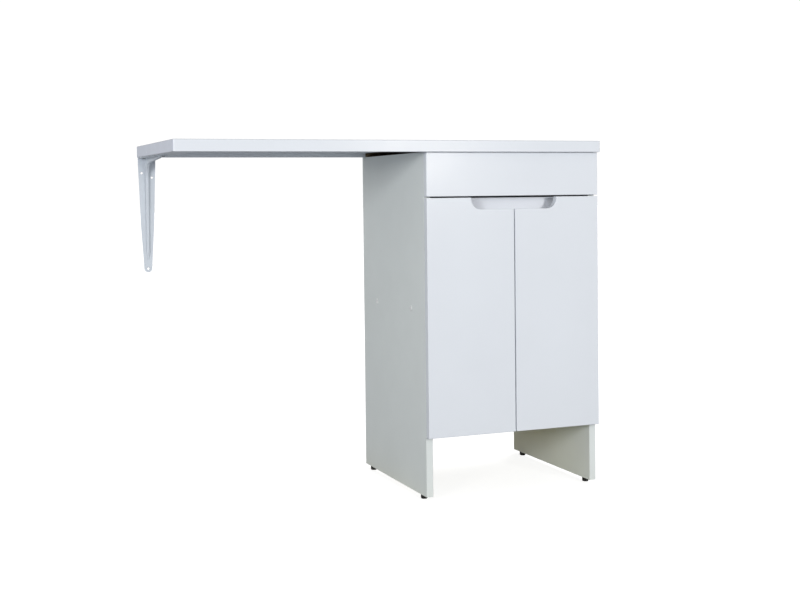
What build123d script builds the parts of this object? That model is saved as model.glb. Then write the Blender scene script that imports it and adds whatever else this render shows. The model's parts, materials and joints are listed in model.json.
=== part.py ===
from build123d import *
import math
import os

# ---------------------------------------------------------------- driving dimensions (mm)
# Layout axes: x = 0 on the outer face of the left side panel, y = 0 on the front
# faces of the doors, z = 0 on the floor.  +x runs right, +y runs to the back.
TABLE_H = 750.0            # floor to worktop surface
TOP_X0, TOP_X1 = -523.0, 403.0
TOP_Y0, TOP_Y1 = -11.0, 383.0
TOP_T = 24.0               # built-up worktop, visible edge height
TOP_BOARD_T = 15.0
BAND_T = 2.0               # edge band around the worktop
BAND_R = 3.0               # rounding of the worktop's vertical corners
STRIP_FRONT_W = 18.0
STRIP_BACK_W = 18.0
STRIP_LEFT_W = 48.0
STRIP_RIGHT_W = 20.0

CAB_W = 402.0              # over the two side panels
PANEL_T = 15.0
PANEL_Y0, PANEL_Y1 = 16.0, 383.0
PANEL_Z0 = 9.0             # glide height
BACK_T = 3.0
REBATE_X = 8.0
BOTTOM_Z0 = 136.0
SHELF_ZC = 397.0
SHELF_Y0 = 40.0
RAIL_Y0 = 36.0             # front rail stands back to leave finger room behind the doors
RAIL_Z0, RAIL_Z1 = 572.0, 630.4
TOP_RAIL_D = 60.0

FRONT_T = 15.0             # doors and drawer front
DOOR_Z0, DOOR_Z1 = 133.8, 631.1
DOOR_GAP = 2.4             # between the two doors
DRAWER_Z0, DRAWER_Z1 = 634.1, 725.3
ARRIS_R = 1.0
CUT_HALF_W = 100.0         # finger cut-out shared by the two doors
CUT_Z = 606.2
CUT_R = 22.0

BOX_X0 = 27.7              # drawer box, 12.7 mm runner room on each side
BOX_Y0, BOX_Y1 = 15.0, 365.0
BOX_Z0, BOX_Z1 = 646.0, 706.0
BOX_T = 12.0
RUN_ZC = 676.0             # runner centre line
RUN_Y0, RUN_Y1 = 18.0, 368.0

HINGE_Z = (229.0, 537.0)
CUP_X = 22.5               # cup centre from the door's outer edge
CUP_R, CUP_D = 17.5, 11.5
PIV_A = (26.5, 10.0)       # pivot in the hinge arm
PIV_C = (10.5, 12.4)       # pivot in the cup
LINK_Q1 = (14.5, 8.3)      # bends of the goose-neck link
LINK_Q2 = (19.5, 9.7)
PIN_R = 1.25
PIN_CLEAR = 0.05

GLIDE_Y = (48.0, 351.0)
GLIDE_R = 7.1
BR_X = -502.0              # wall bracket centre
BR_T = 2.0
BR_V, BR_H = 251.0, 200.0  # wall leg and shelf leg
BR_HOLE_R = 2.5

OUT = Location((-(TOP_X0 + TOP_X1) / 2, -(TOP_Y0 + TOP_Y1) / 2, 0))
MID_X = CAB_W / 2
TOP_Z0 = TABLE_H - TOP_T
STRIP_T = TOP_T - TOP_BOARD_T

DIRS = {"x": (1, 0, 0), "-x": (-1, 0, 0), "y": (0, 1, 0), "-y": (0, -1, 0), "z": (0, 0, 1), "-z": (0, 0, -1)}
LOW = (Align.CENTER, Align.CENTER, Align.MIN)


def slab(x0, x1, y0, y1, z0, z1):
    return Pos((x0 + x1) / 2, (y0 + y1) / 2, (z0 + z1) / 2) * Box(x1 - x0, y1 - y0, z1 - z0)


def at(p, d):
    return Plane(origin=p, z_dir=DIRS[d]).location


def rod(p, d, r, length):
    return at(p, d) * Cylinder(r, length, align=LOW)


def cone(p, d, r0, r1, length):
    return at(p, d) * Cone(r0, r1, length, align=LOW)


def step(p, d, s):
    v = DIRS[d]
    return (p[0] + v[0] * s, p[1] + v[1] * s, p[2] + v[2] * s)


OPP = {"x": "-x", "-x": "x", "y": "-y", "-y": "y", "z": "-z", "-z": "z"}


def cross(p, d, size, depth):
    """Cross recess, mouth at p, sinking along d."""
    tool = Box(size, size * 0.24, depth, align=LOW) + Box(size * 0.24, size, depth, align=LOW)
    return at(p, d) * tool


def pan_screw(p, d, r, length, head_r, head_h):
    """Seat of the head at p, shank along d, crossed pan head standing the other way."""
    o = OPP[d]
    s = rod(p, d, r, length - r) + cone(step(p, d, length - r), d, r, r * 0.15, r)
    h = cone(p, o, head_r, head_r * 0.72, head_h)
    s = s + h
    return s - cross(step(p, o, head_h + 0.01), d, head_r * 0.95, head_h * 0.55)


def csk_screw(p, d, r, length, head_r):
    """Flat head flush with p, shank along d."""
    s = cone(p, d, head_r, r, head_r - r) + rod(step(p, d, head_r - r - 0.01), d, r, length - head_r)
    return s - cross(step(p, OPP[d], 0.01), d, head_r * 1.0, 0.9)


def other_side(s):
    return mirror(s, about=Plane(origin=(MID_X, 0, 0), z_dir=(1, 0, 0)))


def biggest(s):
    """The board itself, without the loose cores that stay inside screw recesses."""
    return max(s.solids(), key=lambda t: t.volume)


NODES = {}


def keep(name, *shapes):
    solids = []
    for s in shapes:
        for t in (s if isinstance(s, (list, tuple)) else [s]):
            solids.extend(t.solids())
    NODES[name] = solids


# ---------------------------------------------------------------- fastenings placed first, so that boards can be drilled for them
# Cam fittings: bolt along x out of the side panel, cam in the horizontal board.
cams, bolts, dowels, bolt_bores = [], [], [], []


def cam_joint(y, z, face, d):
    """One fitting on the left side and its mirror: bolt axis at y, z; face = start of the cam bore along d."""
    bolt = rod((4.0, y, z), "x", 3.0, 31.0) + rod((34.0, y, z), "x", 3.6, 2.2)
    c = (39.0, y, face) if d in ("z", "-z") else (39.0, face, z)
    cam = rod(c, d, 7.5, 12.5)
    cam = cam - slab(30.0, 37.4, y - 3.9, y + 3.9, z - 3.9, z + 3.9)
    cam = cam - cross(step(c, OPP[d], 0.01), d, 7.0, 2.0)
    bore = rod((PANEL_T, y, z), "x", 4.0, 22.0)
    bolts.extend([bolt, other_side(bolt)])
    cams.extend([cam, other_side(cam)])
    bolt_bores.extend([bore, other_side(bore)])


def dowel_joint(y, z):
    dw = rod((3.0, y, z), "x", 4.0, 30.0)
    dowels.extend([dw, other_side(dw)])


for yy in (70.0, 330.0):
    cam_joint(yy, BOTTOM_Z0 + 7.5, BOTTOM_Z0, "z")
cam_joint(50.0, TOP_Z0 - 7.5, TOP_Z0 - 15.0, "z")
cam_joint(348.0, TOP_Z0 - 7.5, TOP_Z0 - 15.0, "z")
cam_joint(RAIL_Y0 + 7.5, 620.0, RAIL_Y0 + 15.0, "-y")
for yy in (110.0, 290.0):
    dowel_joint(yy, BOTTOM_Z0 + 7.5)
dowel_joint(68.0, TOP_Z0 - 7.5)
dowel_joint(330.0, TOP_Z0 - 7.5)
dowel_joint(RAIL_Y0 + 7.5, 590.0)

# Shelf screws with push-in caps, two on each side.
shelf_screws, screw_caps = [], []
for yy in (92.8, 296.6):
    sc = cone((0.0, yy, SHELF_ZC), "x", 4.8, 2.6, 3.0) + rod((2.99, yy, SHELF_ZC), "x", 2.6, 47.0)
    socket = at((-0.01, yy, SHELF_ZC), "x") * extrude(RegularPolygon(2.0, 6), 2.5)
    sc = sc - socket
    cap = rod((-0.8, yy, SHELF_ZC), "x", 6.0, 0.8)
    cap = fillet(cap.edges().group_by(Axis.X)[0], 0.5)
    cap = cap + at((-0.1, yy, SHELF_ZC), "x") * extrude(RegularPolygon(1.8, 6), 2.0)
    shelf_screws.extend([sc, other_side(sc)])
    screw_caps.extend([cap, other_side(cap)])

# Screws up through the two top rails into the worktop.
worktop_screws = [pan_screw((xx, yy, TOP_Z0 - 15.0), "z", 2.0, 30.0, 4.0, 2.0) for xx in (110.0, CAB_W - 110.0) for yy in (33.0, 372.0)]
# Screws up through the wall bracket's shelf leg.
br_seat = TOP_Z0 - BR_T
bracket_screws = [pan_screw((BR_X + dx, TOP_Y1 - dy, br_seat), "z", 2.0, 17.0, 3.8, 2.0) for dx, dy in ((-11.0, 34.0), (11.0, 44.0), (0.0, 192.0))]
# Back panel nails.
back_nails = []
for zz in (190.0, 300.0, 460.0, 570.0, 680.0):
    back_nails.append((11.0, zz))
    back_nails.append((CAB_W - 11.0, zz))
for xx in (120.0, CAB_W - 120.0):
    back_nails += [(xx, BOTTOM_Z0 + 7.5), (xx, TOP_Z0 - 7.5)]
back_nails = [rod((xx, PANEL_Y1, zz), "-y", 1.7, 0.7) + rod((xx, PANEL_Y1 - 0.69, zz), "-y", 0.75, 14.0) for xx, zz in back_nails]
# Runner screws: cabinet side and drawer side.
run_cab_screws, run_box_screws = [], []
for yy in (55.0, 183.0, 330.0):
    s = rod((PANEL_T + 1.2, yy, RUN_ZC), "-x", 1.75, 12.0) + cone((PANEL_T + 1.2, yy, RUN_ZC), "x", 3.4, 2.6, 1.1)
    s = s - cross((PANEL_T + 2.31, yy, RUN_ZC), "-x", 3.2, 0.7)
    run_cab_screws.extend([s, other_side(s)])
for yy in (40.0, 190.0, 340.0):
    s = rod((BOX_X0 - 1.2, yy, RUN_ZC), "x", 1.75, 10.5) + cone((BOX_X0 - 1.2, yy, RUN_ZC), "-x", 3.4, 2.6, 1.1)
    s = s - cross((BOX_X0 - 2.31, yy, RUN_ZC), "x", 3.2, 0.7)
    run_box_screws.extend([s, other_side(s)])
# Screws holding the drawer front, and the ones holding the drawer box together.
front_screws = [pan_screw((xx, BOX_Y0 + BOX_T, zz), "-y", 2.0, 22.0, 3.8, 2.0) for xx in (110.0, CAB_W - 110.0) for zz in (668.0, 694.0)]
box_screws = []
for yy in (BOX_Y0 + 6.0, BOX_Y1 - 6.0):
    for zz in (661.0, 694.0):
        s = csk_screw((BOX_X0, yy, zz), "x", 1.75, 34.0, 3.5)
        box_screws.extend([s, other_side(s)])
# Hinge plate screws into the side panels and the clip screws of the arms.
plate_screws, arm_screws = [], []
for hz in HINGE_Z:
    for dz in (-16.0, 16.0):
        s = rod((PANEL_T + 2.0, 53.0, hz + dz), "-x", 2.0, 13.0) + cone((PANEL_T + 2.0, 53.0, hz + dz), "x", 3.8, 3.0, 2.0)
        s = s - cross((PANEL_T + 4.01, 53.0, hz + dz), "-x", 3.6, 1.1)
        plate_screws.extend([s, other_side(s)])
    s = rod((29.5, 66.0, hz), "-x", 2.4, 10.0) + cone((29.5, 66.0, hz), "x", 3.6, 3.0, 1.6)
    s = s - cross((31.11, 66.0, hz), "-x", 3.4, 0.9)
    arm_screws.extend([s, other_side(s)])

# ---------------------------------------------------------------- worktop
ix0, ix1 = TOP_X0 + BAND_T, TOP_X1 - BAND_T
iy0, iy1 = TOP_Y0 + BAND_T, TOP_Y1 - BAND_T
cxt, cyt = (TOP_X0 + TOP_X1) / 2, (TOP_Y0 + TOP_Y1) / 2
band = extrude(RectangleRounded(TOP_X1 - TOP_X0, TOP_Y1 - TOP_Y0, BAND_R), TOP_T)
band = fillet(band.edges().group_by(Axis.Z)[-1], 1.4)
band = chamfer(band.edges().group_by(Axis.Z)[0], 0.5)
band = band - Pos(0, 0, -1) * extrude(RectangleRounded(ix1 - ix0, iy1 - iy0, BAND_R - BAND_T), TOP_T + 2)
keep("worktop_edge_band", Pos(cxt, cyt, TOP_Z0) * band)
board = Pos(cxt, cyt, TABLE_H - TOP_BOARD_T) * extrude(RectangleRounded(ix1 - ix0, iy1 - iy0, BAND_R - BAND_T), TOP_BOARD_T)
keep("worktop_board", board - worktop_screws - bracket_screws)
r1 = BAND_R - BAND_T


def strip(x0, x1, y0, y1, ends):
    s = slab(x0, x1, y0, y1, TOP_Z0, TOP_Z0 + STRIP_T)
    if ends:
        e = [v for v in s.edges().filter_by(Axis.Z) if abs((v @ 0).Y - ends) < 0.01]
        s = fillet(e, r1)
    return s


keep("worktop_front_strip", strip(ix0, ix1, iy0, iy0 + STRIP_FRONT_W, iy0) - worktop_screws)
keep("worktop_back_strip", strip(ix0, ix1, iy1 - STRIP_BACK_W, iy1, iy1) - worktop_screws)
keep("worktop_left_strip", strip(ix0, ix0 + STRIP_LEFT_W, iy0 + STRIP_FRONT_W, iy1 - STRIP_BACK_W, 0) - bracket_screws)
keep("worktop_right_strip", strip(ix1 - STRIP_RIGHT_W, ix1, iy0 + STRIP_FRONT_W, iy1 - STRIP_BACK_W, 0))
# Packing strip over the front top rail, where the narrow front strip does not reach.
keep("worktop_packing_strip", strip(95.0, ix1 - STRIP_RIGHT_W - 1.0, PANEL_Y0 + 4.0, PANEL_Y0 + 46.0, 0) - worktop_screws)

# ---------------------------------------------------------------- carcass
side = slab(0, PANEL_T, PANEL_Y0, PANEL_Y1, PANEL_Z0, TOP_Z0)
side = chamfer(side.edges().filter_by(Axis.Z), 0.4)
side = side - slab(PANEL_T - REBATE_X, PANEL_T + 1, PANEL_Y1 - BACK_T, PANEL_Y1 + 1, BOTTOM_Z0, TOP_Z0 + 1)
glide_nails, glides = [], []
for yy in GLIDE_Y:
    nail = rod((PANEL_T / 2, yy, 3.0), "z", 3.0, 1.0) + rod((PANEL_T / 2, yy, 4.0), "z", 1.2, 18.0) + cone((PANEL_T / 2, yy, 22.0), "z", 1.2, 0.2, 3.0)
    prof = Polyline((0.0, 4.0), (3.2, 4.0), (3.2, 0.8), (4.0, 0.0), (GLIDE_R - 1.2, 0.0), (GLIDE_R - 0.2, 1.0), (GLIDE_R, 2.2), (GLIDE_R, PANEL_Z0), (0.0, PANEL_Z0), (0.0, 4.0))
    g = revolve(Plane.XZ * make_face(prof), axis=Axis.Z)
    g = Pos(PANEL_T / 2, yy, 0) * g - nail
    glide_nails.extend([nail, other_side(nail)])
    glides.extend([g, other_side(g)])
left_side = side - [b for b in bolts + dowels + shelf_screws + plate_screws + run_cab_screws + glide_nails + back_nails if b.bounding_box().min.X < PANEL_T]
right_side = other_side(side) - [b for b in bolts + dowels + shelf_screws + plate_screws + run_cab_screws + glide_nails + back_nails if b.bounding_box().max.X > CAB_W - PANEL_T]
keep("left_side_panel", biggest(left_side))
keep("right_side_panel", biggest(right_side))
keep("glide_feet", glides)
keep("glide_nails", glide_nails)

in0, in1 = PANEL_T, CAB_W - PANEL_T
rear = PANEL_Y1 - BACK_T


def near(tools, z0, z1):
    return [t for t in tools if t.bounding_box().max.Z > z0 and t.bounding_box().min.Z < z1]


bottom = slab(in0, in1, PANEL_Y0 + 1.0, rear, BOTTOM_Z0, BOTTOM_Z0 + 15.0)
bottom = bottom - [rod((xx, yy, BOTTOM_Z0), "z", 7.5, 12.5) for xx in (39.0, CAB_W - 39.0) for yy in (70.0, 330.0)]
bottom = bottom - near(bolt_bores + dowels + back_nails, BOTTOM_Z0, BOTTOM_Z0 + 15.0)
keep("bottom_panel", bottom)
shelf = slab(in0, in1, SHELF_Y0, rear, SHELF_ZC - 7.5, SHELF_ZC + 7.5) - shelf_screws
keep("fixed_shelf", shelf)
rail = slab(in0, in1, RAIL_Y0, RAIL_Y0 + 15.0, RAIL_Z0, RAIL_Z1)
rail = rail - [rod((xx, RAIL_Y0 + 15.0, 620.0), "-y", 7.5, 12.5) for xx in (39.0, CAB_W - 39.0)]
rail = rail - near(bolt_bores + dowels, RAIL_Z0, RAIL_Z1)
keep("front_rail", rail)
tf = slab(in0, in1, PANEL_Y0 + 2.0, PANEL_Y0 + 2.0 + TOP_RAIL_D, TOP_Z0 - 15.0, TOP_Z0)
tf = tf - [rod((xx, 50.0, TOP_Z0 - 15.0), "z", 7.5, 12.5) for xx in (39.0, CAB_W - 39.0)]
tf = tf - near(bolt_bores + dowels + worktop_screws, TOP_Z0 - 15.0, TOP_Z0)
keep("top_front_rail", tf)
tr = slab(in0, in1, rear - TOP_RAIL_D, rear, TOP_Z0 - 15.0, TOP_Z0)
tr = tr - [rod((xx, 348.0, TOP_Z0 - 15.0), "z", 7.5, 12.5) for xx in (39.0, CAB_W - 39.0)]
tr = tr - near(bolt_bores + dowels + worktop_screws + back_nails, TOP_Z0 - 15.0, TOP_Z0)
keep("top_rear_rail", tr)
bx0 = PANEL_T - REBATE_X + 0.2
keep("back_panel", slab(bx0, CAB_W - bx0, rear, PANEL_Y1, BOTTOM_Z0 + 0.5, TOP_Z0 - 0.5) - back_nails)
keep("cam_locks", cams)
keep("cam_bolts", bolts)
keep("wood_dowels", dowels)
keep("shelf_screws", shelf_screws)
keep("screw_caps", screw_caps)
keep("worktop_screws", worktop_screws)
keep("back_panel_nails", back_nails)

# ---------------------------------------------------------------- wall bracket, pressed from sheet
zt = TOP_Z0
yb = TOP_Y1


def leg_outline(length):
    """Half outline points (half width, distance from the bend) of a tapering leg with a round end."""
    return [(19.1, 0.0), (18.9, 14.0), (16.8, 70.0), (14.3, 149.0 * length / 251.0), (9.3, length - 25.0), (8.6, length - 8.6)]


def leg_face(length):
    pts = leg_outline(length)
    right = [(w, -d) for w, d in pts]
    left = [(-w, -d) for w, d in reversed(pts)]
    lines = Polyline(*right) + ThreePointArc(right[-1], (0.0, -length), left[0]) + Polyline(*left, right[0])
    return make_face(lines)


wall_leg = Pos(BR_X, yb, zt) * (Plane.XZ * extrude(leg_face(BR_V), BR_T))          # grows to -y
shelf_leg = Pos(BR_X, yb, zt) * Rot(180, 0, 0) * extrude(leg_face(BR_H), BR_T)
shelf_leg = shelf_leg if shelf_leg.bounding_box().min.Y < yb - 10 else Pos(BR_X, yb, zt - BR_T) * extrude(leg_face(BR_H), BR_T)
# Embossed rib, hollow from the back: gusset outline in the y-z plane, wide outer part minus inner part.


def rib_face(k, over=0.0):
    """Rib outline sunk by k; over lets it run on behind the sheet."""
    top, back = zt - k * 0.4 + over, yb - k * 0.4 + over
    low = (back, zt - 236.0 + 9 * k - 4.0 * over)
    far = (yb - 186.0 + 9 * k - 4.0 * over, top)
    wall = [(yb - 5.4 + k, zt - 205.0), (yb - 6.2 + k, zt - 130.0), (yb - 8.0 + k, zt - 46.0)]
    shelf = [(yb - 42.0, zt - 12.0 + k), (yb - 104.0, zt - 8.4 + k), (yb - 156.0, zt - 5.6 + k)]
    ln = Polyline(low, *wall) + ThreePointArc(wall[-1], (yb - 17.96 + 0.7 * k, zt - 21.96 + 0.7 * k), shelf[0]) + Polyline(*shelf, far)
    ln = ln + Polyline(far, (back, top), low)
    return make_face(ln)


def rib_at(x, face):
    return Plane(origin=(BR_X + x, 0, 0), x_dir=(0, 1, 0), z_dir=(1, 0, 0)) * face


def rib(k, w):
    return extrude(rib_at(-w / 2, rib_face(k)), w)


# Bend between the legs: rounded outside and inside.
bend = (BR_X - 18.8, yb - 3.0, zt - 3.0)
sheet = wall_leg + shelf_leg
sheet = sheet - (slab(BR_X - 30.0, BR_X + 30.0, yb - 3.0, yb + 1.0, zt - 3.0, zt + 1.0) - rod((BR_X - 31.0, yb - 3.0, zt - 3.0), "x", 3.0, 62.0))
sheet = sheet + (slab(BR_X - 18.8, BR_X + 18.8, yb - 3.0, yb - 1.5, zt - 3.0, zt - 1.5) - rod(bend, "x", 1.0, 37.6))
# The rib is narrow, with steep sides and bevelled shoulders.
RIB_CREST, RIB_FLANK, RIB_FALL = 4.4, 1.1, 45.0
flank = extrude(rib_at(RIB_CREST / 2, rib_face(0.0, 5.0)), RIB_FLANK, taper=RIB_FALL)
flank = flank & slab(BR_X, BR_X + 10.0, yb - 300.0, yb - 1.0, zt - 300.0, zt - 1.0)
ridge = rib(0.0, RIB_CREST) + flank + mirror(flank, about=Plane(origin=(BR_X, 0, 0), z_dir=(1, 0, 0)))
bracket = sheet + ridge
bracket = bracket - rib(1.8, 3.4)
hollow_v = slab(BR_X - 1.7, BR_X + 1.7, yb - 1.0, yb + 1, zt - 214.0, zt - 1.0)
hollow_h = slab(BR_X - 1.7, BR_X + 1.7, yb - 164.0, yb - 1.0, zt - 1.0, zt + 1)
bracket = bracket - hollow_v - hollow_h
for dx, dz in ((-11.0, 34.0), (11.0, 44.0), (0.0, 243.0)):
    bracket = bracket - rod((BR_X + dx, yb + 1, zt - dz), "-y", BR_HOLE_R, 6.0)
    bracket = bracket - cone((BR_X + dx, yb - BR_T - 0.01, zt - dz), "y", BR_HOLE_R + 0.9, BR_HOLE_R, 0.9)
bracket = bracket - [rod((BR_X + dx, yb - dy, zt - 6), "z", 2.0, 8.0) for dx, dy in ((-11.0, 34.0), (11.0, 44.0), (0.0, 192.0))]
keep("wall_bracket", bracket)
keep("bracket_screws", bracket_screws)

# ---------------------------------------------------------------- drawer
df = slab(0, CAB_W, 0, FRONT_T, DRAWER_Z0, DRAWER_Z1)
df = fillet(df.edges().group_by(Axis.Y)[0], ARRIS_R)
df = chamfer(df.edges().group_by(Axis.Y)[-1], 0.4)
keep("drawer_front", df - front_screws)
floor_z0, floor_z1 = BOX_Z0 + 6.0, BOX_Z0 + 9.5
floor = slab(BOX_X0 + 8.0, CAB_W - BOX_X0 - 8.0, BOX_Y0 + 8.0, BOX_Y1 - 8.0, floor_z0, floor_z1)
ds = slab(BOX_X0, BOX_X0 + BOX_T, BOX_Y0, BOX_Y1, BOX_Z0, BOX_Z1)
ds = fillet([e for e in ds.edges().filter_by(Axis.Y) if (e @ 0).Z > BOX_Z1 - 1], 1.0)
left_ds = ds - floor - [s for s in box_screws + run_box_screws if s.bounding_box().max.X < MID_X]
right_ds = other_side(ds) - floor - [s for s in box_screws + run_box_screws if s.bounding_box().min.X > MID_X]
keep("drawer_side_left", biggest(left_ds))
keep("drawer_side_right", biggest(right_ds))
keep("drawer_inner_front", slab(BOX_X0 + BOX_T, CAB_W - BOX_X0 - BOX_T, BOX_Y0, BOX_Y0 + BOX_T, BOX_Z0, BOX_Z1) - floor - box_screws - front_screws)
keep("drawer_back", slab(BOX_X0 + BOX_T, CAB_W - BOX_X0 - BOX_T, BOX_Y1 - BOX_T, BOX_Y1, BOX_Z0, BOX_Z1) - floor - box_screws)
keep("drawer_bottom", floor)
keep("drawer_front_screws", front_screws)
keep("drawer_box_screws", box_screws)


def channel(x_web, x_tip, h, y0, y1):
    """C-section runner member: 1.2 mm web at x_web, flanges reaching to x_tip."""
    s = 1.2
    sign = 1 if x_tip > x_web else -1
    w = slab(min(x_web, x_web + sign * s), max(x_web, x_web + sign * s), y0, y1, RUN_ZC - h / 2, RUN_ZC + h / 2)
    fx0, fx1 = min(x_web, x_tip), max(x_web, x_tip)
    up = slab(fx0, fx1, y0, y1, RUN_ZC + h / 2 - s, RUN_ZC + h / 2)
    dn = slab(fx0, fx1, y0, y1, RUN_ZC - h / 2, RUN_ZC - h / 2 + s)
    return w + up + dn


cab_run = channel(PANEL_T, PANEL_T + 9.5, 35.0, RUN_Y0, RUN_Y1)
mid_run = channel(PANEL_T + 3.2, PANEL_T + 10.9, 27.0, 30.0, 360.0)
box_run = channel(BOX_X0, BOX_X0 - 7.0, 20.0, 17.0, 364.0)
mid_run = mid_run - [slab(PANEL_T + 2, PANEL_T + 6, yy - 14, yy + 14, RUN_ZC - 5, RUN_ZC + 5) for yy in (80.0, 310.0)]
keep("runner_cabinet_left", cab_run - run_cab_screws)
keep("runner_cabinet_right", other_side(cab_run) - run_cab_screws)
keep("runner_middle_left", mid_run)
keep("runner_middle_right", other_side(mid_run))
keep("runner_drawer_left", box_run - run_box_screws)
keep("runner_drawer_right", other_side(box_run) - run_box_screws)
keep("runner_cabinet_screws", run_cab_screws)
keep("runner_drawer_screws", run_box_screws)

# ---------------------------------------------------------------- doors and their concealed hinges
dx1 = MID_X - DOOR_GAP / 2
cut_x = MID_X - CUT_HALF_W
outline = Polyline((cut_x, DOOR_Z1), (0, DOOR_Z1), (0, DOOR_Z0), (dx1, DOOR_Z0), (dx1, CUT_Z), (cut_x + CUT_R, CUT_Z))
q = CUT_R * (1 - math.sqrt(0.5))
outline = outline + ThreePointArc((cut_x + CUT_R, CUT_Z), (cut_x + q, CUT_Z + q), (cut_x, CUT_Z + CUT_R)) + Line((cut_x, CUT_Z + CUT_R), (cut_x, DOOR_Z1))
door = extrude(Plane.XZ * make_face(outline), -FRONT_T)
door = fillet(door.edges().group_by(Axis.Y)[0], ARRIS_R)
door = fillet(door.edges().group_by(Axis.Y)[-1], 1.0)

cups, cup_pins, cup_screws, links, link_pins, plates, arms = [], [], [], [], [], [], []


def capsule(a, b, r):
    d = math.hypot(b[0] - a[0], b[1] - a[1])
    ang = math.degrees(math.atan2(b[1] - a[1], b[0] - a[0]))
    return Pos((a[0] + b[0]) / 2, (a[1] + b[1]) / 2) * Rot(0, 0, ang) * SlotOverall(d + 2 * r, 2 * r)


def disc(c, r):
    return Pos(c[0], c[1]) * Circle(r)


link_face = capsule(PIV_C, LINK_Q1, 1.0) + capsule(LINK_Q1, LINK_Q2, 1.0) + capsule(LINK_Q2, PIV_A, 1.0) + disc(PIV_C, 2.5) + disc(PIV_A, 2.5)
link_face = link_face - disc(PIV_C, PIN_R + PIN_CLEAR) - disc(PIV_A, PIN_R + PIN_CLEAR)
cheek_face = capsule(PIV_A, (PIV_A[0], 30.0), 3.0) + Pos(23.5, 50.0) * Rectangle(12.0, 48.0)
for hz in HINGE_Z:
    cup = rod((CUP_X, FRONT_T, hz), "-y", CUP_R, CUP_D)
    ear = slab(CUP_X - 1.0, CUP_X + 16.0, FRONT_T - 1.2, FRONT_T, hz - 30.0, hz + 30.0)
    ear = fillet(ear.edges().filter_by(Axis.Y), 6.0)
    cup = cup + ear
    cup = cup - rod((CUP_X, FRONT_T + 1, hz), "-y", CUP_R - 1.0, CUP_D)
    pin_c = rod((PIV_C[0], PIV_C[1], hz - 11.2), "z", PIN_R, 22.4)
    scr = [csk_screw((CUP_X + 9.5, FRONT_T, hz + dz), "-y", 1.75, 12.0, 3.5) for dz in (-23.5, 23.5)]
    cup = cup - pin_c - scr
    link = Pos(0, 0, hz - 5.5) * extrude(link_face, 11.0)
    pin_a = rod((PIV_A[0], PIV_A[1], hz - 7.7), "z", PIN_R, 15.4)
    cheek = extrude(cheek_face, 1.5)
    arm = Pos(0, 0, hz + 6.2) * cheek + Pos(0, 0, hz - 7.7) * cheek + slab(28.0, 29.5, 26.0, 74.0, hz - 7.7, hz + 7.7) + slab(28.1, 29.5, 15.0, 26.5, hz - 7.7, hz + 7.7)
    arm = arm - pin_a
    plate = slab(PANEL_T, PANEL_T + 2.0, 45.0, 61.0, hz - 25.0, hz + 25.0)
    plate = fillet(plate.edges().filter_by(Axis.X), 5.0)
    plate = plate + slab(PANEL_T, 24.0, 40.0, 73.0, hz - 5.7, hz + 5.7)
    cups.append(biggest(cup))
    cup_pins.append(pin_c)
    cup_screws.extend(scr)
    links.append(link)
    link_pins.append(pin_a)
    plates.append(plate - plate_screws - arm_screws)
    arms.append(arm - arm_screws)
bumpers = []
for xx in (60.0, 186.0):
    b = rod((xx, FRONT_T, BOTTOM_Z0 + 7.5), "y", 4.0, 1.8)
    bumpers.append(fillet(b.edges().group_by(Axis.Y)[-1], 1.2))
door = door - [rod((CUP_X, FRONT_T, hz), "-y", CUP_R, CUP_D) for hz in HINGE_Z] - cups - cup_screws
door = biggest(door)
for name, f in (("left", lambda s: s), ("right", other_side)):
    keep(name + "_door", f(door))
    keep(name + "_hinge_cups", [f(s) for s in cups])
    keep(name + "_hinge_cup_pins", [f(s) for s in cup_pins])
    keep(name + "_hinge_cup_screws", [f(s) for s in cup_screws])
    keep(name + "_hinge_links", [f(s) for s in links])
    keep(name + "_door_bumpers", [f(s) for s in bumpers])
keep("hinge_arms", arms, [other_side(s) for s in arms])
keep("hinge_arm_pins", link_pins, [other_side(s) for s in link_pins])
keep("hinge_plates", plates, [other_side(s) for s in plates])
keep("hinge_plate_screws", plate_screws)
keep("hinge_arm_screws", arm_screws)

# ---------------------------------------------------------------- write one file per piece, origin under the middle of the whole table
os.makedirs("parts", exist_ok=True)
for name, solids in NODES.items():
    moved = [s.moved(OUT) for s in solids]
    export_step(moved[0] if len(moved) == 1 else Compound(moved), os.path.join("parts", name + ".step"))
print(len(NODES), "nodes", sum(len(s) for s in NODES.values()), "solids")
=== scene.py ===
import json
import math

import bpy
from mathutils import Matrix, Vector


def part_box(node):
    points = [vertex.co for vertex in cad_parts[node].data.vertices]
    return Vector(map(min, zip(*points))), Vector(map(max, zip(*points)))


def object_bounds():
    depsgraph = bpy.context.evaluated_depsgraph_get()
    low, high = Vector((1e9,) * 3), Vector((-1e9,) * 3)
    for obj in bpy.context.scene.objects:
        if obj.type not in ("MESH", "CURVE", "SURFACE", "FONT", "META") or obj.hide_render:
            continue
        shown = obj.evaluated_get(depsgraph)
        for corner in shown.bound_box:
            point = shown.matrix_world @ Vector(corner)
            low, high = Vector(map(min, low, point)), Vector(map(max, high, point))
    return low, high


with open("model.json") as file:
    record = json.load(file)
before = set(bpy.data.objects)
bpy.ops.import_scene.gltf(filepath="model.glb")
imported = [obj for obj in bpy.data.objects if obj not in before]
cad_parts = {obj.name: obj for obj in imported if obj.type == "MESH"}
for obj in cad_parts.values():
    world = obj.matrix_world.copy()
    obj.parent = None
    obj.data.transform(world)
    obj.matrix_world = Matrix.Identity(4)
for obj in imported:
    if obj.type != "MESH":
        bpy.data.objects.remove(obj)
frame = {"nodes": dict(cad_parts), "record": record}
cad_box = [list(v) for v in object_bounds()]
scene = bpy.context.scene
nodes = frame["nodes"]

# ---------------------------------------------------------------- node helpers


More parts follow.
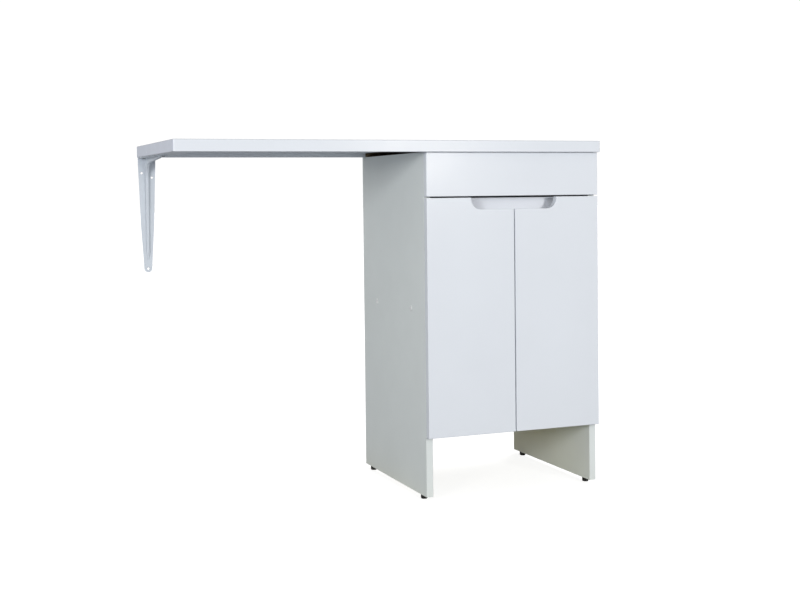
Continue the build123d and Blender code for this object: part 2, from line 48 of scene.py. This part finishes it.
class Mat:
    """A node material on the Principled shader, textured in the part's own coordinates (metres)."""

    def __init__(self, name):
        self.m = bpy.data.materials.new(name)
        self.m.use_nodes = True
        self.t = self.m.node_tree
        self.n = self.t.nodes
        self.b = next(x for x in self.n if x.type == "BSDF_PRINCIPLED")
        self.xyz = self.add("ShaderNodeTexCoord").outputs["Object"]

    def add(self, kind, **props):
        x = self.n.new(kind)
        for k, v in props.items():
            setattr(x, k, v)
        return x

    def link(self, a, b):
        self.t.links.new(a, b)

    def put(self, sock, value):
        if isinstance(value, bpy.types.NodeSocket):
            self.link(value, sock)
        else:
            sock.default_value = value

    def scaled(self, sx, sy, sz):
        mp = self.add("ShaderNodeMapping")
        self.link(self.xyz, mp.inputs["Vector"])
        mp.inputs["Scale"].default_value = (sx, sy, sz)
        return mp.outputs["Vector"]

    def noise(self, scale, detail=3.0, rough=0.55, vec=None, distortion=0.0):
        x = self.add("ShaderNodeTexNoise")
        self.link(vec or self.xyz, x.inputs["Vector"])
        x.inputs["Scale"].default_value = scale
        x.inputs["Detail"].default_value = detail
        x.inputs["Roughness"].default_value = rough
        x.inputs["Distortion"].default_value = distortion
        return x.outputs["Fac"]

    def cells(self, scale, vec=None, feature="F1"):
        x = self.add("ShaderNodeTexVoronoi", feature=feature)
        self.link(vec or self.xyz, x.inputs["Vector"])
        x.inputs["Scale"].default_value = scale
        return x

    def ramp(self, fac, stops):
        x = self.add("ShaderNodeValToRGB")
        self.put(x.inputs["Fac"], fac)
        el = x.color_ramp.elements
        while len(el) < len(stops):
            el.new(0.5)
        for e, (p, c) in zip(el, stops):
            e.position = p
            e.color = (*c, 1.0) if len(c) == 3 else c
        return x.outputs["Color"]

    def span(self, v, a0, a1, b0, b1, smooth=False):
        x = self.add("ShaderNodeMapRange")
        if smooth:
            x.interpolation_type = "SMOOTHSTEP"
        self.put(x.inputs["Value"], v)
        for k, w in (("From Min", a0), ("From Max", a1), ("To Min", b0), ("To Max", b1)):
            x.inputs[k].default_value = w
        return x.outputs["Result"]

    def math(self, op, a, b=0.0, clamp=False):
        x = self.add("ShaderNodeMath", operation=op, use_clamp=clamp)
        self.put(x.inputs[0], a)
        self.put(x.inputs[1], b)
        return x.outputs[0]

    def mix(self, fac, a, b):
        x = self.add("ShaderNodeMix", data_type="RGBA")
        self.put(x.inputs["Factor"], fac)
        for s, v in (("A", a), ("B", b)):
            sock = next(i for i in x.inputs if i.name == s and i.type == "RGBA")
            self.put(sock, v if isinstance(v, bpy.types.NodeSocket) else (*v, 1.0))
        return next(o for o in x.outputs if o.type == "RGBA")

    def split(self, vec):
        x = self.add("ShaderNodeSeparateXYZ")
        self.link(vec, x.inputs[0])
        return x.outputs

    def round_edges(self, radius, samples=6):
        x = self.add("ShaderNodeBevel", samples=samples)
        x.inputs["Radius"].default_value = radius
        return x.outputs["Normal"]

    def edge_mask(self, radius, lo=0.02, hi=0.25):
        """1 along convex and concave edges, 0 on flats."""
        geo = self.add("ShaderNodeNewGeometry")
        d = self.add("ShaderNodeVectorMath", operation="DOT_PRODUCT")
        self.link(self.round_edges(radius), d.inputs[0])
        self.link(geo.outputs["True Normal"], d.inputs[1])
        return self.span(d.outputs["Value"], 1.0 - lo, 1.0 - hi, 0.0, 1.0)

    def painted_corner_shade(self, dist, samples=6):
        """Painted shade: 1 deep in corners and gaps, from an ambient-occlusion pass."""
        x = self.add("ShaderNodeAmbientOcclusion", samples=samples)
        x.inputs["Distance"].default_value = dist
        return self.span(x.outputs["AO"], 0.35, 0.95, 1.0, 0.0)

    def bump(self, height, strength, distance, normal=None):
        x = self.add("ShaderNodeBump")
        self.put(x.inputs["Height"], height)
        x.inputs["Strength"].default_value = strength
        x.inputs["Distance"].default_value = distance
        if normal is not None:
            self.link(normal, x.inputs["Normal"])
        return x.outputs["Normal"]

    def set(self, **kv):
        for k, v in kv.items():
            sock = self.b.inputs[k.replace("_", " ")]
            if not isinstance(v, bpy.types.NodeSocket) and sock.type == "RGBA":
                v = (*v, 1.0)
            self.put(sock, v)
        return self

    def facing(self, axis, sign=1.0, sharp=0.7):
        """1 on faces whose normal points along one part axis."""
        geo = self.add("ShaderNodeNewGeometry")
        c = self.split(geo.outputs["Normal"])["XYZ".index(axis)]
        return self.span(c, sharp * sign, (sharp + 0.15) * sign, 0.0, 1.0)

    def band_line(self, axis, at, width):
        """1 on a hairline at one coordinate."""
        c = self.split(self.xyz)["XYZ".index(axis)]
        d = self.math("ABSOLUTE", self.math("SUBTRACT", c, at))
        return self.span(d, width * 0.5, width, 1.0, 0.0)


def tint(c, k):
    return tuple(min(1.0, x * k) for x in c)


# ---------------------------------------------------------------- finishes
COOL = (0.800, 0.838, 0.890)     # fronts and worktop
PLAIN = (0.795, 0.842, 0.832)    # melamine carcass
TOP_Z = cad_box[1][2]            # worktop surface
UNDER_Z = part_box("worktop_front_strip")[0].z
CUPBOARD_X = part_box("left_side_panel")[0].x


def chips(m):
    """Raw chipboard: flattened chips of several browns with dark glue between them."""
    flake = m.cells(240.0, m.scaled(1.0, 1.0, 2.6))
    tone = m.add("ShaderNodeRGBToBW")
    m.link(flake.outputs["Color"], tone.inputs[0])
    col = m.ramp(tone.outputs[0], [(0.25, (0.150, 0.100, 0.058)), (0.55, (0.270, 0.195, 0.118)), (0.80, (0.370, 0.285, 0.185))])
    return m.mix(m.span(m.noise(700.0, 4.0, 0.7), 0.52, 0.68, 0.0, 0.5), col, (0.085, 0.058, 0.036))


def hollow(m, col):
    """The worktop's hollow is left unfaced where it lies hidden over the cupboard."""
    x, _, z = m.split(m.xyz)
    inside = m.math("MULTIPLY", m.span(x, CUPBOARD_X, CUPBOARD_X + 0.0006, 0.0, 1.0), m.math("MULTIPLY", m.span(z, UNDER_Z + 0.0003, UNDER_Z + 0.0006, 0.0, 1.0), m.span(z, UNDER_Z + 0.0108, UNDER_Z + 0.0104, 0.0, 1.0)))
    return m.mix(inside, col, chips(m))


def raw_board(name):
    m = Mat(name)
    rough = m.span(m.noise(300.0, 3.0, 0.6), 0.3, 0.7, 0.70, 0.86)
    n = m.bump(m.noise(420.0, 4.0, 0.7), 0.35, 0.0006)
    return m.set(Base_Color=chips(m), Roughness=rough, Normal=n, Specular_IOR_Level=0.2).m


def melamine(name, base, lines=(), raw=False):
    """Melamine-faced board: pearl emboss under a millimetre, faint cloudy tone, painted shade in corners and gaps,
    edges darkened all round (greyed convex edges, painted shade along the concave ones).
    """
    m = Mat(name)
    cloud = m.noise(7.0, 4.0, 0.6)
    col = m.ramp(cloud, [(0.30, tint(base, 0.975)), (0.70, tint(base, 1.015))])
    speck = m.cells(420.0)
    col = m.mix(m.span(speck.outputs["Distance"], 0.04, 0.10, 0.10, 0.0), col, tint(base, 0.80))
    # Painted shade: darkens along every edge, greying the convex edges and shading the concave corners.
    col = m.mix(m.math("MULTIPLY", m.edge_mask(0.0012), 0.22), col, (0.62, 0.63, 0.63))
    # Painted shade deep in corners and gaps.
    col = m.mix(m.math("MULTIPLY", m.painted_corner_shade(0.012), 0.20), col, (0.42, 0.41, 0.38))
    for axis, at in lines:
        col = m.mix(m.math("MULTIPLY", m.band_line(axis, at, 0.00022), 0.35), col, (0.45, 0.44, 0.42))
    if raw:
        col = hollow(m, col)
    pearl = m.noise(1500.0, 2.0, 0.6)
    wave = m.noise(60.0, 2.0, 0.5)
    rough = m.span(m.noise(22.0, 5.0, 0.65), 0.3, 0.7, 0.40, 0.52)
    n = m.bump(pearl, 0.10, 0.0002, m.round_edges(0.0006))
    n = m.bump(wave, 0.05, 0.0008, n)
    return m.set(Base_Color=col, Roughness=rough, Normal=n, Specular_IOR_Level=0.42).m


def lacquer(name, base):
    """Sprayed front: orange peel, soft sheen, hand marks in the gloss, slightly darker sprayed edges with painted shade
    along the concave ones, painted shade in corners and gaps.
    """
    m = Mat(name)
    cloud = m.noise(5.0, 3.0, 0.55)
    col = m.ramp(cloud, [(0.30, tint(base, 0.985)), (0.70, tint(base, 1.01))])
    # Painted shade: slightly darker along every edge, the concave ones included.
    col = m.mix(m.math("MULTIPLY", m.edge_mask(0.0014), 0.09), col, (0.70, 0.71, 0.72))
    # Painted shade in corners and gaps.
    col = m.mix(m.math("MULTIPLY", m.painted_corner_shade(0.006), 0.08), col, (0.40, 0.40, 0.42))
    peel = m.noise(330.0, 2.0, 0.45)
    broad = m.noise(18.0, 2.0, 0.5)
    smear = m.noise(9.0, 6.0, 0.72, m.scaled(1.0, 1.0, 0.35), 0.6)
    rough = m.span(smear, 0.35, 0.75, 0.19, 0.27)
    n = m.bump(peel, 0.10, 0.0004, m.round_edges(0.0008))
    n = m.bump(broad, 0.06, 0.0012, n)
    return m.set(Base_Color=col, Roughness=rough, Normal=n, Specular_IOR_Level=0.5).m


def edge_band(name, base):
    """Extruded edge band: drawn lines along the edge, satin gloss, a painted dark reflection along the top edge,
    painted shade over the two end faces, edges darkened with painted shade along the concave ones.
    """
    m = Mat(name)
    cloud = m.noise(4.0, 3.0, 0.5)
    col = m.ramp(cloud, [(0.30, tint(base, 0.985)), (0.70, tint(base, 1.012))])
    # Painted shade: both end faces of the band take a darker blue-grey.
    painted_end_shade = m.math("MAXIMUM", m.facing("X", 1.0), m.facing("X", -1.0))
    col = m.mix(painted_end_shade, col, m.ramp(cloud, [(0.30, (0.640, 0.690, 0.805)), (0.70, (0.672, 0.720, 0.835))]))
    # Painted shade: darker along every edge, the concave ones included.
    col = m.mix(m.math("MULTIPLY", m.edge_mask(0.0012), 0.16), col, (0.66, 0.67, 0.68))
    # Painted dark reflection: a grey line along the top edge of the band.
    painted_top_reflection = m.span(m.split(m.xyz)[2], TOP_Z - 0.0017, TOP_Z - 0.0009, 0.0, 0.45)
    col = m.mix(painted_top_reflection, col, (0.44, 0.46, 0.49))
    lines = m.noise(1.0, 3.0, 0.7, m.scaled(3.0, 3.0, 1400.0))
    wave = m.noise(30.0, 2.0, 0.5)
    rough = m.span(m.noise(16.0, 5.0, 0.7), 0.3, 0.7, 0.21, 0.28)
    n = m.bump(lines, 0.10, 0.0002, m.round_edges(0.0005))
    n = m.bump(wave, 0.05, 0.0010, n)
    return m.set(Base_Color=col, Roughness=rough, Normal=n, Specular_IOR_Level=0.5).m


def worktop_face(name, base):
    """Worktop laminate: fine crystal emboss, faint use marks in the sheen."""
    m = Mat(name)
    cloud = m.noise(6.0, 4.0, 0.6)
    col = m.ramp(cloud, [(0.30, tint(base, 0.98)), (0.70, tint(base, 1.012))])
    # Painted shade: darker along every edge, the concave ones included.
    col = m.mix(m.math("MULTIPLY", m.edge_mask(0.0008), 0.25), col, (0.50, 0.50, 0.50))
    col = hollow(m, col)
    grit = m.cells(900.0)
    marks = m.noise(3.0, 8.0, 0.78, m.scaled(1.0, 6.0, 1.0), 1.5)
    rough = m.span(marks, 0.40, 0.72, 0.34, 0.48)
    n = m.bump(grit.outputs["Distance"], 0.12, 0.00025, m.round_edges(0.0004))
    return m.set(Base_Color=col, Roughness=rough, Normal=n, Specular_IOR_Level=0.45).m


def hardboard(name, base):
    """Painted hardboard: felted fibres under a thin white coat, brown at its cut edges."""
    m = Mat(name)
    fibre = m.noise(260.0, 6.0, 0.75, m.scaled(1.0, 1.0, 0.45), 1.2)
    col = m.ramp(fibre, [(0.30, tint(base, 0.90)), (0.62, tint(base, 1.0))])
    blotch = m.noise(9.0, 3.0, 0.5)
    col = m.mix(m.span(blotch, 0.45, 0.75, 0.0, 0.16), col, (0.66, 0.63, 0.57))
    col = m.mix(m.math("MULTIPLY", m.edge_mask(0.0012), 0.55), col, (0.36, 0.27, 0.18))
    rough = m.span(fibre, 0.3, 0.7, 0.58, 0.74)
    n = m.bump(fibre, 0.22, 0.0004)
    return m.set(Base_Color=col, Roughness=rough, Normal=n, Specular_IOR_Level=0.30).m


def beech(name):
    m = Mat(name)
    grain = m.noise(40.0, 6.0, 0.7, m.scaled(0.5, 9.0, 9.0), 0.8)
    ray = m.noise(300.0, 2.0, 0.6, m.scaled(0.25, 1.0, 1.0))
    col = m.ramp(grain, [(0.25, (0.42, 0.26, 0.13)), (0.55, (0.62, 0.42, 0.24)), (0.80, (0.70, 0.51, 0.31))])
    col = m.mix(m.span(ray, 0.55, 0.75, 0.0, 0.45), col, (0.36, 0.21, 0.10))
    n = m.bump(grain, 0.3, 0.0004)
    return m.set(Base_Color=col, Roughness=m.span(grain, 0.2, 0.8, 0.70, 0.52), Normal=n, Specular_IOR_Level=0.3).m


def plated(name, base, dull, roughs, brush, spangle=False):
    """Plated steel: brushed or rolled lines, patchy plating, painted shade in corners and brighter on worn edges."""
    m = Mat(name)
    patch = m.noise(70.0, 5.0, 0.7)
    col = m.ramp(patch, [(0.28, dull), (0.66, base)])
    if spangle:
        v = m.cells(160.0)
        grey = m.add("ShaderNodeRGBToBW")
        m.link(v.outputs["Color"], grey.inputs[0])
        col = m.mix(m.span(grey.outputs[0], 0.2, 0.8, 0.0, 0.28), col, tint(dull, 0.78))
    col = m.mix(m.math("MULTIPLY", m.edge_mask(0.0006), 0.5), col, tint(base, 1.12))
    # Painted shade in corners and gaps.
    col = m.mix(m.math("MULTIPLY", m.painted_corner_shade(0.004), 0.55), col, (0.16, 0.15, 0.14))
    lines = m.noise(1.0, 4.0, 0.75, m.scaled(*brush))
    rough = m.math("ADD", m.span(patch, 0.25, 0.75, roughs[0], roughs[1]), m.span(lines, 0.3, 0.7, -0.03, 0.05))
    n = m.bump(lines, 0.14, 0.00015, m.round_edges(0.00035))
    return m.set(Base_Color=col, Metallic=1.0, Roughness=rough, Normal=n).m


def powder_coat(name, base):
    """White powder coat on pressed sheet: tight orange peel, thin on arrises, a rub of bare metal round the screw holes."""
    m = Mat(name)
    cloud = m.noise(26.0, 3.0, 0.55)
    col = m.ramp(cloud, [(0.30, tint(base, 0.965)), (0.70, tint(base, 1.02))])
    rub = m.noise(420.0, 4.0, 0.7)
    worn = m.math("MULTIPLY", m.edge_mask(0.0007, 0.05, 0.35), m.span(rub, 0.46, 0.62, 0.0, 0.55))
    col = m.mix(worn, col, (0.36, 0.37, 0.38))
    # Painted shade in corners and gaps.
    col = m.mix(m.math("MULTIPLY", m.painted_corner_shade(0.010), 0.25), col, (0.34, 0.35, 0.37))
    peel = m.noise(900.0, 2.0, 0.5)
    rough = m.span(m.noise(45.0, 4.0, 0.6), 0.3, 0.7, 0.36, 0.50)
    n = m.bump(peel, 0.22, 0.0003, m.round_edges(0.0006))
    return m.set(Base_Color=col, Roughness=rough, Normal=n, Specular_IOR_Level=0.5).m


def moulded(name, base, rough, peel_scale, scuff):
    m = Mat(name)
    mot = m.noise(120.0, 4.0, 0.6)
    col = m.ramp(mot, [(0.30, tint(base, 0.85)), (0.70, tint(base, 1.1))])
    low = m.span(m.split(m.xyz)[2], 0.0, 0.0025, 1.0, 0.0)
    grit = m.span(m.noise(900.0, 5.0, 0.75), 0.48, 0.62, 0.0, 1.0)
    if scuff:
        col = m.mix(m.math("MULTIPLY", m.math("MULTIPLY", low, grit), 0.30), col, (0.10, 0.095, 0.09))
    col = m.mix(m.math("MULTIPLY", m.edge_mask(0.0006), 0.25), col, tint(tuple(x + 0.03 for x in base), 1.25))
    r = m.span(mot, 0.3, 0.7, rough - 0.06, rough + 0.08)
    n = m.bump(m.noise(peel_scale, 2.0, 0.5), 0.16, 0.0002, m.round_edges(0.0004))
    return m.set(Base_Color=col, Roughness=r, Normal=n, Specular_IOR_Level=0.45).m


def clear_soft(name):
    m = Mat(name)
    haze = m.noise(500.0, 3.0, 0.6)
    col = m.ramp(haze, [(0.3, (0.80, 0.82, 0.82)), (0.7, (0.90, 0.92, 0.92))])
    r = m.span(haze, 0.3, 0.7, 0.18, 0.34)
    n = m.bump(haze, 0.10, 0.0002)
    return m.set(Base_Color=col, Roughness=r, Normal=n, Transmission_Weight=0.75, IOR=1.46).m


# front edge bands of the carcass boards show as hairlines just behind their front edges
PANEL_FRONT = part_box("left_side_panel")[0].y
FINISH = {
    "board_white": melamine("melamine_board", PLAIN, [("Y", PANEL_FRONT + 0.0010)]),
    "drawer_board_white": melamine("melamine_drawer", tint(PLAIN, 0.985)),
    "front_gloss_white": lacquer("lacquered_front", COOL),
    "edge_band_white": edge_band("worktop_band", COOL),
    "hardboard_white": hardboard("painted_hardboard", (0.78, 0.79, 0.77)),
    "hardwood": beech("beech_dowel"),
    "zinc_steel": plated("zinc_plate", (0.60, 0.61, 0.63), (0.40, 0.41, 0.42), (0.26, 0.42), (900.0, 900.0, 60.0)),
    "runner_steel": plated("zinc_runner", (0.66, 0.67, 0.68), (0.50, 0.51, 0.52), (0.24, 0.40), (1300.0, 4.0, 1300.0), True),
    "nickel_steel": plated("nickel_plate", (0.66, 0.63, 0.58), (0.48, 0.45, 0.41), (0.16, 0.30), (1100.0, 120.0, 1100.0)),
    "powder_white_steel": powder_coat("powder_coat", (0.685, 0.738, 0.800)),
    "black_plastic": moulded("black_moulded", (0.008, 0.008, 0.009), 0.46, 700.0, True),
    "white_plastic": moulded("white_moulded", (0.80, 0.83, 0.82), 0.38, 900.0, False),
    "clear_rubber": clear_soft("clear_bumper"),
}
TOP = worktop_face("worktop_laminate", COOL)
STRIP = melamine("melamine_strip", COOL, raw=True)
# The front rail's melamine is a brighter, bluer copy of the carcass white: painted light and a painted blue reflection
# on the rail inside the cut-out.
SPECIAL = {"worktop_packing_strip": raw_board("raw_chipboard"), "screw_caps": moulded("white_cap", (0.90, 0.93, 0.92), 0.26, 900.0, False), "front_rail": melamine("melamine_rail_painted_brighter", (0.900, 0.930, 1.0)), "worktop_board": TOP, "worktop_front_strip": STRIP, "worktop_back_strip": STRIP, "worktop_left_strip": STRIP, "worktop_right_strip": STRIP}
slot_of = {s["node"]: s["material_slot"] for s in frame["record"]["subparts"]}
for name, o in nodes.items():
    o.data.materials.clear()
    o.data.materials.append(SPECIAL.get(name) or FINISH[slot_of[name]])

# ---------------------------------------------------------------- stage: seen floor, bounce floor, white surround
def plane(name, half, z):
    me = bpy.data.meshes.new(name)
    me.from_pydata([(-half, -half, z), (half, -half, z), (half, half, z), (-half, half, z)], [], [(0, 1, 2, 3)])
    o = bpy.data.objects.new(name, me)
    scene.collection.objects.link(o)
    return o


floor = plane("floor", 45.0, 0.0)
fm = Mat("floor_paper")
fcol = fm.ramp(fm.noise(3.0, 3.0, 0.5), [(0.3, (0.34, 0.34, 0.34)), (0.7, (0.36, 0.36, 0.36))])
away = fm.add("ShaderNodeVectorMath", operation="LENGTH")
fm.link(fm.xyz, away.inputs[0])
# The seen floor's glow is dimmer near the table than far from it: painted shade round the table.
glow = fm.span(away.outputs["Value"], 0.6, 3.2, 0.84, 1.02, True)
fm.set(Base_Color=fcol, Roughness=0.9, Specular_IOR_Level=0.1, Emission_Color=(1.0, 1.0, 1.0), Emission_Strength=glow)
floor.data.materials.append(fm.m)
floor.visible_diffuse = False
floor.visible_glossy = False
floor.visible_shadow = False
floor.visible_transmission = False

bounce = plane("floor_bounce", 45.0, -0.0004)
bm_ = Mat("floor_bounce_paper")
bx, by, bz = bm_.split(bm_.xyz)
near = bm_.math("MULTIPLY", bm_.math("MULTIPLY", bm_.span(bx, -0.02, 0.10, 0.0, 1.0), bm_.span(bx, 0.50, 0.42, 0.0, 1.0)), bm_.math("MULTIPLY", bm_.span(by, -0.25, -0.05, 0.0, 1.0), bm_.span(by, 0.9, 0.3, 0.0, 1.0)))
bm_.set(Base_Color=bm_.mix(near, (0.25, 0.262, 0.285), bm_.mix(bm_.span(by, -0.12, 0.12, 0.0, 1.0), (0.84, 0.76, 0.48), (0.34, 0.25, 0.03))), Roughness=1.0, Specular_IOR_Level=0.0)
bounce.data.materials.append(bm_.m)
bounce.visible_camera = False
bounce.visible_transmission = False

me = bpy.data.meshes.new("surround")
ring, rows = 48, 24
verts = [(60 * math.cos(math.pi * (r / rows - 0.5)) * math.cos(2 * math.pi * k / ring), 60 * math.cos(math.pi * (r / rows - 0.5)) * math.sin(2 * math.pi * k / ring), 60 * math.sin(math.pi * (r / rows - 0.5))) for r in range(rows + 1) for k in range(ring)]
me.from_pydata(verts, [], [(r * ring + k, r * ring + (k + 1) % ring, (r + 1) * ring + (k + 1) % ring, (r + 1) * ring + k) for r in range(rows) for k in range(ring)])
surround = bpy.data.objects.new("surround", me)
scene.collection.objects.link(surround)
sm = Mat("surround_white")
sm.set(Base_Color=(0.0, 0.0, 0.0), Roughness=1.0, Specular_IOR_Level=0.0, Emission_Color=(1.0, 1.0, 1.0), Emission_Strength=1.05)
me.materials.append(sm.m)
surround.visible_diffuse = surround.visible_glossy = surround.visible_transmission = surround.visible_shadow = False

world = bpy.data.worlds.new("studio")
scene.world = world
world.use_nodes = True
bg = next(n for n in world.node_tree.nodes if n.type == "BACKGROUND")
bg.inputs["Color"].default_value = (1.0, 1.0, 1.0, 1.0)
bg.inputs["Strength"].default_value = 0.545

AIM = Vector((0.26, -0.19, 0.50))


def softbox(name, azimuth, z, w, h, power, colour, dist=3.4, aim=AIM, spread=180.0):
    """Soft area light in front of the table: azimuth in degrees, right of the cupboard's front positive."""
    la = bpy.data.lights.new(name, "AREA")
    la.shape = "RECTANGLE"
    la.size, la.size_y = w, h
    la.energy = power
    la.color = colour
    la.spread = math.radians(spread)
    o = bpy.data.objects.new(name, la)
    scene.collection.objects.link(o)
    a = math.radians(azimuth)
    pos = Vector((aim.x + dist * math.sin(a), aim.y - dist * math.cos(a), z))
    o.location = pos
    o.rotation_euler = (aim - pos).to_track_quat("-Z", "Y").to_euler()
    o.visible_camera = False
    return o


softbox("key", 17.0, 0.93, 0.35, 0.35, 31.0, (1.0, 1.0, 1.0), 3.2).visible_glossy = False
softbox("left", -50.0, 1.44, 1.3, 1.07, 99.0, (1.0, 1.0, 1.0), 5.5)
softbox("glare", 21.8, 0.92, 0.20, 0.30, 4.8, (1.0, 0.93, 0.84), 2.85, Vector((0.06, -0.19, 0.72)))


def uplight(name, x, y, w, h, power, colour):
    """Light thrown back by a patch of the pale floor."""
    o = softbox(name, 0.0, 0.002, w, h, power, colour)
    o.location = (x, y, 0.002)
    o.rotation_euler = (math.pi, 0.0, 0.0)
    o.visible_glossy = False


uplight("floor_left", -1.50, 0.10, 1.2, 1.6, 3.4, (1.0, 1.0, 1.0))
uplight("floor_front_left", -0.95, -1.25, 1.6, 1.6, 3.1, (1.0, 1.0, 1.0))

# broad light from behind on the top, the back and the right side; it is kept off the bounce floor
rear = softbox("rear", 134.0, 2.9, 1.8, 1.8, 88.0, (1.0, 1.0, 1.0))
unlit = bpy.data.collections.new("not_lit_from_behind")
unlit.objects.link(bounce)
unlit.collection_objects[0].light_linking.link_state = "EXCLUDE"
rear.light_linking.receiver_collection = unlit
rear.visible_glossy = False

# ---------------------------------------------------------------- camera of the photograph
F_PX, CX, CY = 1260.237, 400.0, 230.0
YAW, PITCH, ROLL = math.radians(21.6085), math.radians(-1.6956), math.radians(-0.6507)
fwd = Vector((math.sin(YAW) * math.cos(PITCH), math.cos(YAW) * math.cos(PITCH), math.sin(PITCH)))
right = Vector((math.cos(YAW), -math.sin(YAW), 0.0))
up = right.cross(fwd)
r2 = right * math.cos(ROLL) + up * math.sin(ROLL)
u2 = up * math.cos(ROLL) - right * math.sin(ROLL)
cam_data = bpy.data.cameras.new("camera")
cam_data.sensor_width = 36.0
cam_data.lens = F_PX / 800.0 * 36.0
cam_data.shift_x = (CX - 400.0) / -800.0
cam_data.shift_y = (CY - 300.0) / 800.0
cam_data.clip_end = 200.0
cam = bpy.data.objects.new("camera", cam_data)
scene.collection.objects.link(cam)
cam.matrix_world = Matrix(((r2.x, u2.x, -fwd.x, -0.943957), (r2.y, u2.y, -fwd.y, -2.570167), (r2.z, u2.z, -fwd.z, 0.642978), (0, 0, 0, 1)))
scene.camera = cam
scene.view_settings.view_transform = "Standard"
scene.view_settings.look = "None"
scene.view_settings.exposure = 0.0
scene.view_settings.gamma = 1.0

bpy.context.view_layer.update()
